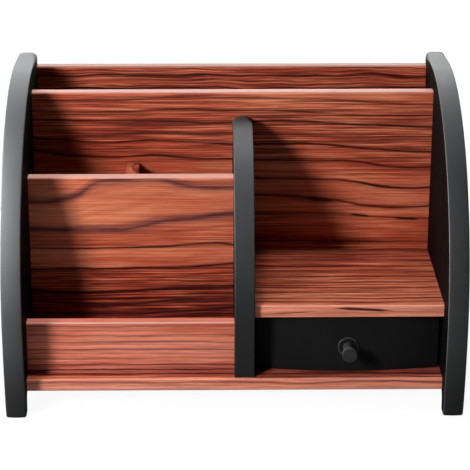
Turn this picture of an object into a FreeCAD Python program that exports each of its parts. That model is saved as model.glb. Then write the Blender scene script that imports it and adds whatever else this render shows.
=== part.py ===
"""Desk organizer: boards and panels between two curved sides, with one bow-front drawer.

Millimetres. +X is the organizer's right hand side seen from the front, +Y its rear, +Z up.
The origin is on the desk under the middle of the organizer. Every wooden piece is a separate
board, as it is on the bench before glueing: the base board is dowelled to the two sides, and the
other boards are let into shallow housings.
"""
import FreeCAD, Part
import math
import os

from FreeCAD import Vector

# Stock thicknesses
PANEL = 15.0                # the two sides and the centre divider
BOARD = 10.0                # every wood-veneered board
DRAWER_BOARD = 8.0          # sides and back of the drawer
DRAWER_BOTTOM = 3.0

# Overall sizes
INNER_WIDTH = 310.0         # between the two sides
DEPTH = 204.0
FOOT_HEIGHT = 16.0          # from the desk to the underside of the base board
LEFT_BAY = 154.8            # clear width left of the centre divider

# The curved front edge: a quarter arc above the spring line and a long, flat arc below it
SPRING_LINE = 71.5
SIDE_RADIUS = 157.0
DIVIDER_RADIUS = 121.5
LOWER_RADIUS = 400.0
FOOT_LENGTH = 12.0
ARCH_CORNER = 8.0

# Front faces of the boards, measured back from the front edge of the base board
RAIL_SETBACK = 11.5
MID_SETBACK = 64.5
TALL_SETBACK = 121.0
BACK_SETBACK = 174.5
SHELF_SETBACK = 5.5
DRAWER_SETBACK = 11.5

# Heights above the top of the base board
RAIL_HEIGHT = 40.5
MID_HEIGHT = 136.5
TALL_HEIGHT = 186.5
BACK_HEIGHT = 192.5
SHELF_UNDERSIDE = 46.5
STUB_HEIGHT = 129.5

# Softened arrises: bevels on the panels and the drawer, quarter rounds on the boards
PANEL_BEVEL = 1.2
BOARD_ROUND = 1.5
DRAWER_BEVEL = 0.8

# Joints between the boards
HOUSING = 3.0               # depth of the housings that the boards' ends sit in
DOWEL_RADIUS = 3.0
DOWEL_IN_FACE = 7.0
DOWEL_IN_END = 17.0
SCREW_RADIUS = 1.75
SCREW_HEAD_RADIUS = 3.5
SCREW_LENGTH = 30.0

# Drawer
SIDE_GAP = 1.0              # between the drawer front and the opening, each side
BOX_GAP = 1.5               # between the drawer box and the opening, each side
RUNNING_GAP = 0.3           # under the drawer
TOP_GAP = 0.5               # between the drawer front and the shelf
FRONT_END_THICKNESS = 10.0
BOW_RISE = 8.0
BOX_HEIGHT = 38.0
REAR_GAP = 3.0              # between the drawer and the tall panel
GROOVE_DEPTH = 3.0
GROOVE_RISE = 5.0
DRAWER_DOWEL_RADIUS = 2.0
DRAWER_DOWEL_LENGTH = 16.0
DRAWER_DOWEL_IN_FRONT = 6.0

# Knob and its screw
KNOB_HEIGHT = 20.5          # axis above the top of the base board
HEAD_RADIUS = 5.5
HEAD_THICKNESS = 3.0
HEAD_BEVEL = 0.6
NECK_RADIUS = 4.0
NECK_LENGTH = 8.3
FLARE_LENGTH = 5.0
BACKPLATE_RADIUS = 7.5
BACKPLATE_THICKNESS = 1.2
KNOB_SCREW_RADIUS = 2.0
KNOB_SCREW_GRIP = 8.0       # length of screw inside the knob
PAN_HEAD_RADIUS = 4.0
PAN_HEAD_HEIGHT = 2.4

# Places that follow from the dimensions above
HALF_INNER = INNER_WIDTH / 2
FRONT = -DEPTH / 2
REAR = DEPTH / 2
SIDE_ARC_Y = FRONT + SIDE_RADIUS
BACK_FRONT = REAR - BOARD
BASE_FRONT = BACK_FRONT - BACK_SETBACK
RAIL_FRONT = BASE_FRONT + RAIL_SETBACK
MID_FRONT = BASE_FRONT + MID_SETBACK
TALL_FRONT = BASE_FRONT + TALL_SETBACK
SHELF_FRONT = BASE_FRONT + SHELF_SETBACK
BASE_DEPTH = REAR - BASE_FRONT
BASE_MIDDLE = FOOT_HEIGHT + BOARD / 2
FLOOR = FOOT_HEIGHT + BOARD             # top of the base board
SHELF_BOTTOM = FLOOR + SHELF_UNDERSIDE
DIVIDER_LEFT = -HALF_INNER + LEFT_BAY
DIVIDER_RIGHT = DIVIDER_LEFT + PANEL
STUB_CENTRE = -HALF_INNER + LEFT_BAY / 2

DRAWER_CENTRE = (DIVIDER_RIGHT + HALF_INNER) / 2
FRONT_HALF_WIDTH = (HALF_INNER - DIVIDER_RIGHT) / 2 - SIDE_GAP
BOX_HALF_WIDTH = (HALF_INNER - DIVIDER_RIGHT) / 2 - BOX_GAP
BOW_APEX = BASE_FRONT + DRAWER_SETBACK
BOX_FRONT = BOW_APEX + BOW_RISE + FRONT_END_THICKNESS
BOX_REAR = TALL_FRONT - REAR_GAP
DRAWER_BASE = FLOOR + RUNNING_GAP
GROOVE_BASE = DRAWER_BASE + GROOVE_RISE
KNOB_AXIS = FLOOR + KNOB_HEIGHT


def block(x, y, z):
    """A box from three (low, high) pairs."""
    return Part.makeBox(x[1] - x[0], y[1] - y[0], z[1] - z[0], Vector(x[0], y[0], z[0]))


def rod(start, direction, radius, length):
    return Part.makeCylinder(radius, length, Vector(*start), Vector(*direction))


def line(a, b):
    return Part.LineSegment(Vector(*a), Vector(*b)).toShape()


def arc(a, through, b):
    return Part.Arc(Vector(*a), Vector(*through), Vector(*b)).toShape()


def arc_point(centre, radius, angle):
    """A point of a circle in the YZ plane, its angle in degrees from +Y towards +Z."""
    turn = math.radians(angle)
    return (0, centre[0] + radius * math.cos(turn), centre[1] + radius * math.sin(turn))


def round_arrises(shape, wanted):
    """Round every edge that the test accepts."""
    return shape.makeFillet(BOARD_ROUND, [edge for edge in shape.Edges if wanted(edge.BoundBox)])


def bevel_arrises(shape, size, wanted):
    """Bevel every edge that the test accepts."""
    return shape.makeChamfer(size, [edge for edge in shape.Edges if wanted(edge.BoundBox)])


def lower_arc(front, bottom):
    """The long arc of a front edge, from its foot up to the spring line."""
    centre = (front + LOWER_RADIUS, SPRING_LINE)
    foot_angle = 180 + math.degrees(math.asin((SPRING_LINE - bottom) / LOWER_RADIUS))
    foot = arc_point(centre, LOWER_RADIUS, foot_angle)
    middle = arc_point(centre, LOWER_RADIUS, (180 + foot_angle) / 2)
    spring = arc_point(centre, LOWER_RADIUS, 180)
    return foot, arc(foot, middle, spring)


def upper_arc(centre_y, radius):
    """The quarter arc of a front edge, from the spring line to the crown."""
    centre = (centre_y, SPRING_LINE)
    spring, middle, crown = (arc_point(centre, radius, angle) for angle in (180, 135, 90))
    return crown, arc(spring, middle, crown)


def arch_corner(foot_y, towards):
    """One inner corner of the arch between the feet: the foot's face, then a quarter arc."""
    top = (0, foot_y + towards * ARCH_CORNER, FOOT_HEIGHT)
    side = (0, foot_y, FOOT_HEIGHT - ARCH_CORNER)
    turn = ARCH_CORNER * (1 - math.sqrt(0.5))
    middle = (0, foot_y + towards * turn, FOOT_HEIGHT - turn)
    return [line((0, foot_y, 0), side), arc(side, middle, top)], top


def side_outline():
    """The closed outline of a side, in the YZ plane."""
    foot, front_low = lower_arc(FRONT, 0)
    crown, front_high = upper_arc(SIDE_ARC_Y, SIDE_RADIUS)
    top_rear = (0, REAR, crown[2])
    bottom_rear = (0, REAR, 0)
    front_heel = foot[1] + FOOT_LENGTH
    rear_heel = REAR - FOOT_LENGTH
    front_corner, front_top = arch_corner(front_heel, 1)
    rear_corner, rear_top = arch_corner(rear_heel, -1)
    edges = [front_low, front_high, line(crown, top_rear), line(top_rear, bottom_rear)]
    edges += [line(bottom_rear, (0, rear_heel, 0))] + rear_corner + [line(rear_top, front_top)]
    edges += front_corner + [line((0, front_heel, 0), foot)]
    return Part.Wire(Part.__sortEdges__(edges))


def side_panel(inner_face, outward):
    """A side with both faces bevelled all round; its inner face is at x = inner_face."""
    profile = Part.Face(side_outline())
    profile.translate(Vector(min(inner_face, inner_face + outward * PANEL), 0, 0))
    solid = profile.extrude(Vector(PANEL, 0, 0))
    return bevel_arrises(solid, PANEL_BEVEL, lambda box: box.XLength < 1e-6)


def centre_divider():
    """The divider: the same kind of curve as the sides, its rear edge let into the tall panel."""
    foot, front_low = lower_arc(TALL_FRONT - DIVIDER_RADIUS, FLOOR)
    crown, front_high = upper_arc(TALL_FRONT, DIVIDER_RADIUS)
    rear = TALL_FRONT + HOUSING
    top_rear = (0, rear, crown[2])
    bottom_rear = (0, rear, FLOOR)
    edges = [front_low, front_high, line(crown, top_rear), line(top_rear, bottom_rear)]
    edges.append(line(bottom_rear, foot))
    profile = Part.Face(Part.Wire(Part.__sortEdges__(edges)))
    profile.translate(Vector(DIVIDER_LEFT, 0, 0))
    solid = profile.extrude(Vector(PANEL, 0, 0))


    def is_front_arris(box):
        return box.XLength < 1e-6 and box.YMin < TALL_FRONT - 1 and box.ZMax > FLOOR + 1

    return bevel_arrises(solid, PANEL_BEVEL, is_front_arris)


def standing_board(x, front, height):
    """A board on edge on the base board, its two top arrises rounded; x is its clear width."""
    top = FLOOR + height
    solid = block((x[0] - HOUSING, x[1] + HOUSING), (front, front + BOARD), (FLOOR, top))

    return round_arrises(solid, lambda box: box.XLength > BOARD and box.ZMin > top - 0.1)


def lying_board(x, y, bottom):
    """A flat board, its two front arrises rounded."""
    solid = block(x, y, (bottom, bottom + BOARD))

    return round_arrises(solid, lambda box: box.XLength > BOARD and box.YMax < y[0] + 0.1)


def short_divider():
    """The short board across the letter space, level on top and lower than both panels."""
    y = (MID_FRONT + BOARD - HOUSING, TALL_FRONT + HOUSING)
    top = FLOOR + STUB_HEIGHT
    solid = block((STUB_CENTRE - BOARD / 2, STUB_CENTRE + BOARD / 2), y, (FLOOR, top))

    return round_arrises(solid, lambda box: box.YLength > BOARD and box.ZMin > top - 0.1)


def dowels():
    """The four dowels of the base board, two across each joint with a side."""
    pins = []
    for inward in (1, -1):
        for share in (0.2, 0.8):
            y = BASE_FRONT + BASE_DEPTH * share
            start = (-inward * (HALF_INNER + DOWEL_IN_FACE), y, BASE_MIDDLE)
            pins.append(rod(start, (inward, 0, 0), DOWEL_RADIUS, DOWEL_IN_FACE + DOWEL_IN_END))
    return Part.makeCompound(pins)


def wood_screw(x, y):
    """A countersunk screw driven up through the base board, its head flush underneath."""
    start = Vector(x, y, FOOT_HEIGHT)
    up = Vector(0, 0, 1)
    head = Part.makeCone(SCREW_HEAD_RADIUS, SCREW_RADIUS, SCREW_HEAD_RADIUS - SCREW_RADIUS, start, up)
    shank = Part.makeCylinder(SCREW_RADIUS, SCREW_LENGTH, start, up)
    return head.fuse(shank).removeSplitter()


def divider_screws():
    x = (DIVIDER_LEFT + DIVIDER_RIGHT) / 2
    length = TALL_FRONT - BASE_FRONT
    return Part.makeCompound([wood_screw(x, BASE_FRONT + length * share) for share in (0.25, 0.75)])


def drawer_front():
    """The bow front: flat behind, a shallow arc in front, with a groove for the bottom."""
    left, right = DRAWER_CENTRE - FRONT_HALF_WIDTH, DRAWER_CENTRE + FRONT_HALF_WIDTH
    ends = BOW_APEX + BOW_RISE
    z = DRAWER_BASE
    front_left, front_right = (left, ends, z), (right, ends, z)
    back_left, back_right = (left, BOX_FRONT, z), (right, BOX_FRONT, z)
    bow = arc(front_left, (DRAWER_CENTRE, BOW_APEX, z), front_right)
    straight = Part.makePolygon([Vector(*p) for p in (front_right, back_right, back_left, front_left)])
    face = Part.Face(Part.Wire([bow] + straight.Edges))
    solid = face.extrude(Vector(0, 0, SHELF_BOTTOM - TOP_GAP - z))
    solid = bevel_arrises(solid, DRAWER_BEVEL, lambda box: box.YMax < ends + 0.1)
    return solid.cut([knob_screw(), drawer_bottom()])


def drawer_bottom():
    """The thin bottom, let into grooves in the front and both sides."""
    half = BOX_HALF_WIDTH - DRAWER_BOARD + GROOVE_DEPTH
    return block((DRAWER_CENTRE - half, DRAWER_CENTRE + half),
                 (BOX_FRONT - GROOVE_DEPTH, BOX_REAR), (GROOVE_BASE, GROOVE_BASE + DRAWER_BOTTOM))


def drawer_side(side):
    """One side of the drawer, grooved for the bottom; side is -1 for left and 1 for right."""
    outer = DRAWER_CENTRE + side * BOX_HALF_WIDTH
    inner = outer - side * DRAWER_BOARD
    top = DRAWER_BASE + BOX_HEIGHT
    solid = block((min(outer, inner), max(outer, inner)), (BOX_FRONT, BOX_REAR), (DRAWER_BASE, top))
    solid = bevel_arrises(solid, DRAWER_BEVEL, lambda box: box.ZMin > top - 0.1 and box.YLength > 10)
    return solid.cut([drawer_bottom(), drawer_back()])


def drawer_back():
    """The back, on top of the bottom and in a rebate of each side."""
    half = BOX_HALF_WIDTH - DRAWER_BOARD + GROOVE_DEPTH
    return block((DRAWER_CENTRE - half, DRAWER_CENTRE + half), (BOX_REAR - DRAWER_BOARD, BOX_REAR),
                 (GROOVE_BASE + DRAWER_BOTTOM, DRAWER_BASE + BOX_HEIGHT))


def drawer_dowels():
    """Two dowels from the drawer front into the front end of each drawer side."""
    pins = []
    for side in (-1, 1):
        x = DRAWER_CENTRE + side * (BOX_HALF_WIDTH - DRAWER_BOARD / 2)
        for share in (0.35, 0.8):
            start = (x, BOX_FRONT - DRAWER_DOWEL_IN_FRONT, DRAWER_BASE + BOX_HEIGHT * share)
            pins.append(rod(start, (0, 1, 0), DRAWER_DOWEL_RADIUS, DRAWER_DOWEL_LENGTH))
    return Part.makeCompound(pins)


def drawer_knob():
    """A turned knob: a thick neck that flares into a flat head, drilled for its screw."""
    axis = Vector(0, -1, 0)
    start = Vector(DRAWER_CENTRE, BOW_APEX - BACKPLATE_THICKNESS, KNOB_AXIS)
    neck_end = start + axis * NECK_LENGTH
    flare_end = neck_end + axis * FLARE_LENGTH
    neck = Part.makeCylinder(NECK_RADIUS, NECK_LENGTH, start, axis)
    flare = Part.makeCone(NECK_RADIUS, HEAD_RADIUS, FLARE_LENGTH, neck_end, axis)
    head = Part.makeCylinder(HEAD_RADIUS, HEAD_THICKNESS, flare_end, axis)
    tip = flare_end.y - HEAD_THICKNESS
    head = bevel_arrises(head, HEAD_BEVEL, lambda box: box.YMax < tip + 0.1)
    return neck.fuse([flare, head]).removeSplitter().cut(knob_screw())


def knob_backplate():
    """The thin round plate between the knob and the bow front."""
    back = (DRAWER_CENTRE, BOW_APEX, KNOB_AXIS)
    return rod(back, (0, -1, 0), BACKPLATE_RADIUS, BACKPLATE_THICKNESS).cut(knob_screw())


def knob_screw():
    """The screw from inside the drawer: pan head, shank through the front into the knob."""
    length = BOX_FRONT - BOW_APEX + BACKPLATE_THICKNESS + KNOB_SCREW_GRIP
    start = (DRAWER_CENTRE, BOX_FRONT, KNOB_AXIS)
    shank = rod(start, (0, -1, 0), KNOB_SCREW_RADIUS, length)
    head = rod(start, (0, 1, 0), PAN_HEAD_RADIUS, PAN_HEAD_HEIGHT)
    return shank.fuse(head).removeSplitter()


def pieces():
    """Every node and its shape."""
    across = (-HALF_INNER, HALF_INNER)
    left_bay = (-HALF_INNER, DIVIDER_LEFT)
    shelf_width = (DIVIDER_RIGHT - HOUSING, HALF_INNER + HOUSING)
    pins = dowels()
    screws = divider_screws()
    boards = {
        "front_rail": standing_board(left_bay, RAIL_FRONT, RAIL_HEIGHT),
        "mid_panel": standing_board(left_bay, MID_FRONT, MID_HEIGHT),
        "tall_panel": standing_board(across, TALL_FRONT, TALL_HEIGHT),
        "back_panel": standing_board(across, BACK_FRONT, BACK_HEIGHT),
        "drawer_shelf": lying_board(shelf_width, (SHELF_FRONT, TALL_FRONT), SHELF_BOTTOM),
    }
    divider = centre_divider()
    stub = short_divider()
    for name in ("mid_panel", "tall_panel"):
        boards[name] = boards[name].cut([stub, divider])
    housed = list(boards.values())
    box_pins = drawer_dowels()
    return {
        "left_side_panel": side_panel(-HALF_INNER, -1).cut(housed + [pins]),
        "right_side_panel": side_panel(HALF_INNER, 1).cut(housed + [pins]),
        "base_board": lying_board(across, (BASE_FRONT, REAR), FOOT_HEIGHT).cut([pins, screws]),
        **boards,
        "short_divider": stub,
        "centre_divider": divider.cut(housed + [screws]),
        "dowels": pins,
        "divider_screws": screws,
        "drawer_front": drawer_front().cut(box_pins),
        "drawer_left_side": drawer_side(-1).cut(box_pins),
        "drawer_right_side": drawer_side(1).cut(box_pins),
        "drawer_back": drawer_back(),
        "drawer_bottom": drawer_bottom(),
        "drawer_knob": drawer_knob(),
        "knob_backplate": knob_backplate(),
        "knob_screw": knob_screw(),
        "drawer_dowels": box_pins,
    }


def main():
    os.makedirs("parts", exist_ok=True)
    for name, shape in pieces().items():
        solids = shape.Solids
        body = solids[0] if len(solids) == 1 else Part.makeCompound(solids)
        body.exportStep(f"parts/{name}.step")
        volume = sum(solid.Volume for solid in solids) / 1000
        print(f"{name}: {len(solids)} solid(s), {volume:.2f} cm3, valid {body.isValid()}")


main()
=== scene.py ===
import math

import bmesh
import bpy
from mathutils import Matrix, Vector


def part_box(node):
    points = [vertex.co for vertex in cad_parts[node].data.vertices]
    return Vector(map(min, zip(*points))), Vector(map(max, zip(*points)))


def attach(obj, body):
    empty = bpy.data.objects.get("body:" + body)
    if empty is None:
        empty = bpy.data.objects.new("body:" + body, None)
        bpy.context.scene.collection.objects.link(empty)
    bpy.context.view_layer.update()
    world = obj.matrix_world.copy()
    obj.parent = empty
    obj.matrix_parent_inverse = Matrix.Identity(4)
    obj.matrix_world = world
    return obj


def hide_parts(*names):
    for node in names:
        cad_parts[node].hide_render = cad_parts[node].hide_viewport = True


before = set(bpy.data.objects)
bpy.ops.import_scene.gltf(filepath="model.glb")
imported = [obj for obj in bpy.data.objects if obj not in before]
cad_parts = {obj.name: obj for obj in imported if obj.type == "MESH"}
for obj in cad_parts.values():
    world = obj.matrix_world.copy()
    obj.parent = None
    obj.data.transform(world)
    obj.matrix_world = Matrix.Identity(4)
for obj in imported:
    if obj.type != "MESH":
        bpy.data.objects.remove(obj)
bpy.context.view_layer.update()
print("frame loaded:", sorted(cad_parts))

mm = 0.001
scene = bpy.context.scene

# camera
camera = {
    "place": (-22.27, -1380.21, 625.32),  # mm
    "pitch": 20.493,  # degrees below the horizon
    "yaw": 0.977,  # degrees to the right of straight on
    "roll": 0.14,  # degrees
    "focal": 1911.22,  # in pixels of the frame
    "framePixels": 470,
    "sensor": 36.0,  # mm
    "clip": (0.05, 50),  # metres
}


def setCamera(values):
    pitch, yaw, roll = (math.radians(values[key]) for key in ("pitch", "yaw", "roll"))
    level = math.cos(pitch)
    forward = Vector((math.sin(yaw) * level, math.cos(yaw) * level, -math.sin(pitch)))
    sideways = Vector((math.cos(yaw), -math.sin(yaw), 0))
    upright = sideways.cross(forward)
    right = sideways * math.cos(roll) + upright * math.sin(roll)
    up = upright * math.cos(roll) - sideways * math.sin(roll)
    data = bpy.data.cameras.new("camera")
    data.sensor_width = values["sensor"]
    data.lens = values["focal"] / values["framePixels"] * values["sensor"]
    data.clip_start, data.clip_end = values["clip"]
    thing = bpy.data.objects.new("camera", data)
    turn = Matrix((right, up, -forward)).transposed().to_4x4()
    thing.matrix_world = Matrix.Translation(Vector(values["place"]) * mm) @ turn
    scene.collection.objects.link(thing)
    scene.camera = thing


setCamera(camera)
print("camera set")


# helpers for node trees
def toLinear(red, green, blue):
    # screen colour, 0 to 255, to the shader's linear colour
    parts = [value / 255 for value in (red, green, blue)]
    parts = [p / 12.92 if p <= 0.04045 else ((p + 0.055) / 1.055) ** 2.4 for p in parts]
    return (*parts, 1.0)


class Graph:
    # the nodes of a material or the world, with short ways to add and join them
    def __init__(self, owner):
        owner.use_nodes = True
        self.tree = owner.node_tree
        self.tree.nodes.clear()

    def add(self, kind, sockets=None, **settings):
        node = self.tree.nodes.new(kind)
        for key, value in settings.items():
            setattr(node, key, value)
        for key, value in (sockets or {}).items():
            self.plug(node.inputs[key], value)
        return node

    def plug(self, socket, value):
        if isinstance(value, bpy.types.NodeSocket):
            self.tree.links.new(value, socket)
        else:
            socket.default_value = value

    def maths(self, operation, first, second=0.0, third=0.0, clamp=False):
        node = self.add("ShaderNodeMath", {0: first, 1: second, 2: third}, operation=operation)
        node.use_clamp = clamp
        return node.outputs[0]

    def stretch(self, vector, scale):
        sockets = {0: vector, 1: scale}
        return self.add("ShaderNodeVectorMath", sockets, operation="MULTIPLY").outputs[0]

    def noise(self, vector, scale=1.0, detail=2.0, rough=0.5):
        sockets = {"Vector": vector, "Scale": scale, "Detail": detail, "Roughness": rough}
        return self.add("ShaderNodeTexNoise", sockets).outputs["Fac"]

    def spread(self, value, low, high, newLow=0.0, newHigh=1.0, soft=False):
        sockets = {"Value": value, "From Min": low, "From Max": high,
                   "To Min": newLow, "To Max": newHigh}
        way = "SMOOTHSTEP" if soft else "LINEAR"
        return self.add("ShaderNodeMapRange", sockets, interpolation_type=way).outputs[0]

    def blend(self, amount, first, second, way="MIX"):
        # sockets 6 and 7 are the colours
        node = self.add("ShaderNodeMix", data_type="RGBA", blend_type=way)
        for index, value in ((0, amount), (6, first), (7, second)):
            self.plug(node.inputs[index], value)
        return node.outputs[2]

    def coordinate(self, name="Object"):
        return self.add("ShaderNodeTexCoord").outputs[name]

    def axes(self, vector):
        return self.add("ShaderNodeSeparateXYZ", {0: vector}).outputs

    def grey(self, value):
        return self.add("ShaderNodeCombineColor", {0: value, 1: value, 2: value}).outputs[0]

    def ramp(self, value, stops, way="LINEAR"):
        # stops are (place, brightness or colour) pairs, with places from 0 to 1
        node = self.add("ShaderNodeValToRGB", {"Fac": value})
        node.color_ramp.interpolation = way
        points = node.color_ramp.elements
        for place, level in stops[1:-1]:
            points.new(place)
        for point, (place, level) in zip(points, stops):
            point.position = place
            point.color = level if isinstance(level, tuple) else (level, level, level, 1)
        return node.outputs["Color"]


class Shader(Graph):
    # a material with one principled surface
    def __init__(self, name):
        self.material = bpy.data.materials.new(name)
        super().__init__(self.material)
        self.surface = self.add("ShaderNodeBsdfPrincipled")
        self.output = self.add("ShaderNodeOutputMaterial", {"Surface": self.surface.outputs[0]})

    def give(self, socket, value):
        self.plug(self.surface.inputs[socket], value)

    def roughen(self, noise, roughness):
        self.give("Roughness", self.spread(noise, *noiseRange, *roughness))

    def bump(self, height, strength, distance):
        sockets = {"Height": height, "Strength": strength, "Distance": distance}
        self.give("Normal", self.add("ShaderNodeBump", sockets).outputs[0])


# rosewood of the boards
woodColours = {
    # screen colours, 0 to 255
    "light": (226, 137, 100),
    "red": (186, 83, 56),
    "deep": (116, 34, 21),
    "dark": (54, 13, 9),
    "lyingDark": (88, 24, 15),
    "mark": (56, 17, 13),
    # painted reflection of the pale floor on the base's lower edge
    "lowerEdgeFloorReflection": (158, 120, 114),
    "rose": (224, 138, 122),
    "violet": (104, 50, 52),
    # the next two are paler colours for the tops and front edges: partly a paler edge, partly
    # painted sheen and top light
    "strip": (180, 134, 122),
    "frontSheenStrip": (206, 138, 118),
}
tones = {name: toLinear(*colour) for name, colour in woodColours.items()}
rosewood = {
    # mm: the paler strips on the tops and front edges, partly a paler edge and partly painted sheen
    # and top light with a painted highlight along the arris, and what fades at them
    "stripDepth": 0.6, "stripSoft": 0.4, "reachSoft": 0.5, "arrisFade": (1.7, 1.1),
    "floorReflectionFade": (0.8, 3), "stripBehind": 0.15,  # stripBehind: what is left past a strip's reach
    # finish
    "roughness": (0.4, 0.52),
    "specular": 0.11, "lyingSpecular": 0.05, "stripSpecular": 0.1,
    "bump": (0.5, 0.00006),  # strength, and depth in metres
    "fineBump": 0.35, "poreBump": 0.5,
}

# noises of the wood's figure: stretch along, across and through the grain (per mm), then
# scale, detail and roughness
figure = {
    "wave": ((0.016, 0.05, 0.05), 1, 1.5, 0.5),
    "ripple": ((0.035, 0.13, 0.13), 1, 2, 0.5),
    "strength": ((0.02, 0.1, 0.1), 1, 2, 0.5),
    "coarse": ((0.02, 0.34, 1), 1, 3, 0.6),
    "fine": ((0.014, 0.9, 1), 1, 3, 0.6),
    "hairs": ((0.008, 0.9, 1), 1.03, 1, 0.5),
    "streaks": ((0.016, 0.62, 1), 1, 4, 0.6),
    "pores": ((0.12, 2.2, 1), 1, 2, 0.6),
    "clouds": ((0.009, 0.055, 1), 1, 3, 0.55),
}
noiseRange = (0.3, 0.7)  # where nearly all of a noise's values lie

# what the noises do; a run of four numbers is a noise's range and what it becomes
mixing = {
    "seedSteps": (37, 51, 63),  # each board's noises start at its seed times these
    "spare": 4,  # mm of grain beyond the board, at both ends of the level
    "waveReach": 2, "rippleReach": 1.2,  # mm
    "core": (0.35, 0.6, 0.85, 1.5), "halo": (0.4, 0.7, 1, 0.6), "haloFine": (0.35, 0.65, 0.6, 1.3),
    "hairs": (0.5, 0.66), "streaks": (0.5, 0.6), "pores": (0.6, 0.72),
    "hairShare": (0.6, 0.12), "fineShare": (0.92, 0.16),  # of the amount of streaks, and added
    "streakShare": 0.66, "poreShare": 0.3, "edgeVeins": 0.6,
    "cloudTone": (-0.16, 0.16), "coarseTone": (-0.12, 0.12), "fineTone": (0.32, 0.68, -0.39, 0.62),
    "toneScale": 0.74, "redAt": 0.37, "deepAt": 0.74,
    "pinkRange": (0.35, 0.6), "pinkShares": (1.3, 0.5),
}
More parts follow.
